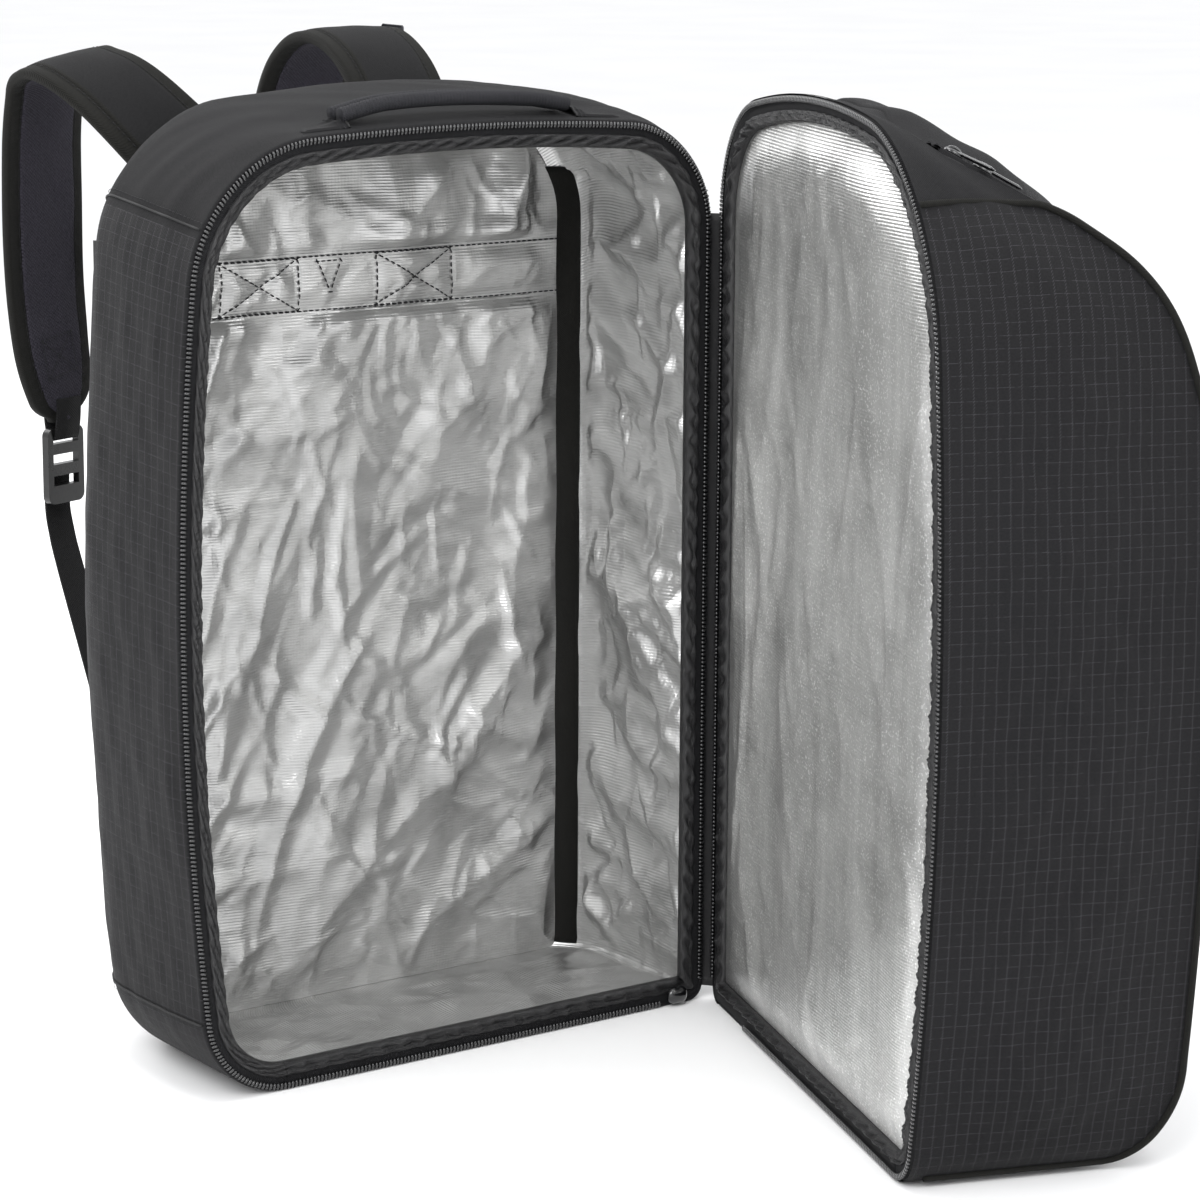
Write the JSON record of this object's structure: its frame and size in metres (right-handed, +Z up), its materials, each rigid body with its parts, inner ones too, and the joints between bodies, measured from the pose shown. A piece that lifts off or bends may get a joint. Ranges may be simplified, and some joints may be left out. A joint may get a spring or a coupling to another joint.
{
  "type": "ski boot bag",
  "caption": "Backpack-style ski boot bag standing upright, main door swung open on a side hinge, silver lining, padded shoulder straps and top grab handle.",
  "frame": {"origin": "centre of the underside of the main body, on the floor", "axes": "+Z up, +X towards the hinged side, -Y out of the opening, +Y towards the shoulder straps"},
  "size_m": [0.4938, 0.6946, 0.5687],
  "materials": {
    "side_fabric": "charcoal ripstop weave, matt",
    "top_fabric": "charcoal plain weave, matt",
    "lining": "silver metallised woven sheet, satin",
    "pocket_lining": "black plain lining, matt",
    "facing": "black puckered nylon, satin",
    "zip_tape": "black woven tape, matt",
    "zip_coil": "black coil, glossy",
    "binding": "black grosgrain tape, matt",
    "foam": "closed-cell foam, matt",
    "board": "plastic sheet, matt",
    "strap_fabric": "black woven strap facing, matt",
    "strap_mesh": "grey-violet spacer mesh, matt",
    "webbing": "black ribbed webbing, matt",
    "handle_cord": "black rolled fabric, matt",
    "buckle_plastic": "black acetal, semi-gloss",
    "slider_metal": "black enamel, glossy",
    "label": "blank woven label, matt"
  },
  "bodies": {
    "shell": {"left_side_panel": "side_fabric", "right_side_panel": "side_fabric", "back_panel": "side_fabric", "base_panel": "side_fabric", "top_panel": "top_fabric", "handle_anchors": "top_fabric", "lining_back": "lining", "lining_walls": "lining", "body_zip_facing": "facing", "hinge_seam": "facing", "body_zip_tape": "zip_tape", "body_zip_teeth": "zip_coil", "corner_binding_left": "binding", "corner_binding_right": "binding", "back_piping": "binding", "back_foam": "foam", "strap_foam_left": "foam", "strap_foam_right": "foam", "base_board": "board", "frame_sheet": "board", "strap_fabric_left": "strap_fabric", "strap_fabric_right": "strap_fabric", "strap_mesh_left": "strap_mesh", "strap_mesh_right": "strap_mesh", "strap_anchor_band": "webbing", "lower_webbing_left": "webbing", "lower_webbing_right": "webbing", "lower_tabs": "webbing", "ladder_lock_left": "buckle_plastic", "ladder_lock_right": "buckle_plastic", "label_tab": "label"},
    "door": {"door_free_side_panel": "side_fabric", "door_top_panel": "top_fabric", "door_hinge_side_panel": "side_fabric", "door_base_panel": "side_fabric", "door_front_panel": "side_fabric", "door_lining": "lining", "door_divider_foam": "foam", "door_pocket_lining": "pocket_lining", "door_zip_facing": "facing", "door_zip_tape": "zip_tape", "door_zip_teeth": "zip_coil", "door_piping_free": "binding", "door_piping_hinge": "binding", "pocket_zip_tape": "zip_tape", "pocket_zip_teeth": "zip_coil"},
    "handle": {"handle_cord_front": "handle_cord", "handle_cord_back": "handle_cord"},
    "main_slider": {"main_slider": "slider_metal"},
    "pocket_slider_upper": {"pocket_slider_upper": "slider_metal"},
    "pocket_slider_lower": {"pocket_slider_lower": "slider_metal"},
    "pocket_pull_upper": {"pocket_pull_upper": "slider_metal"},
    "pocket_pull_lower": {"pocket_pull_lower": "slider_metal"},
    "sternum_left": {"sternum_slider_left": "buckle_plastic", "sternum_webbing_left": "webbing", "sternum_buckle_female": "buckle_plastic"},
    "sternum_right": {"sternum_buckle_male": "buckle_plastic", "sternum_webbing_right": "webbing", "sternum_slider_right": "buckle_plastic"}
  },
  "joints": [
    {"name": "door_hinge", "type": "hinge", "parent": "shell", "child": "door", "pos_m": [0.1685, -0.068, 0.26], "axis": [0, 0, 1], "range_deg": [-70.6, 100]},
    {"name": "handle_swing", "type": "hinge", "parent": "shell", "child": "handle", "pos_m": [0.003, -0.048, 0.5366], "axis": [1, 0, 0], "range_deg": [-12, 12]},
    {"name": "main_slider_slide", "type": "slide", "parent": "shell", "child": "main_slider", "axis": [-1, 0, 0], "range_m": [0, 0.025]},
    {"name": "pocket_slider_upper_slide", "type": "slide", "parent": "door", "child": "pocket_slider_upper", "axis": [0.8314, -0.2928, -0.4722], "range_m": [0, 0.004]},
    {"name": "pocket_slider_lower_slide", "type": "slide", "parent": "door", "child": "pocket_slider_lower", "axis": [0.8314, -0.2928, -0.4722], "range_m": [0, 0.028]},
    {"name": "pocket_pull_upper_swing", "type": "hinge", "parent": "pocket_slider_upper", "child": "pocket_pull_upper", "pos_m": [0.12065, -0.32998, 0.528], "axis": [-0.8032, -0.505, 0.316], "range_deg": [0, 150]},
    {"name": "pocket_pull_lower_swing", "type": "hinge", "parent": "pocket_slider_lower", "child": "pocket_pull_lower", "pos_m": [0.13561, -0.33525, 0.5195], "axis": [-0.3322, -0.9432, 0], "range_deg": [0, 150]},
    {"name": "sternum_left_slide", "type": "slide", "parent": "shell", "child": "sternum_left", "axis": [0, 0, 1], "range_m": [-0.012, 0.012]},
    {"name": "sternum_right_slide", "type": "slide", "parent": "shell", "child": "sternum_right", "axis": [0, 0, 1], "range_m": [-0.012, 0.012]}
  ],
  "couplings": [
    {"joint": "sternum_right_slide", "follows": "sternum_left_slide", "ratio": 1}
  ]
}
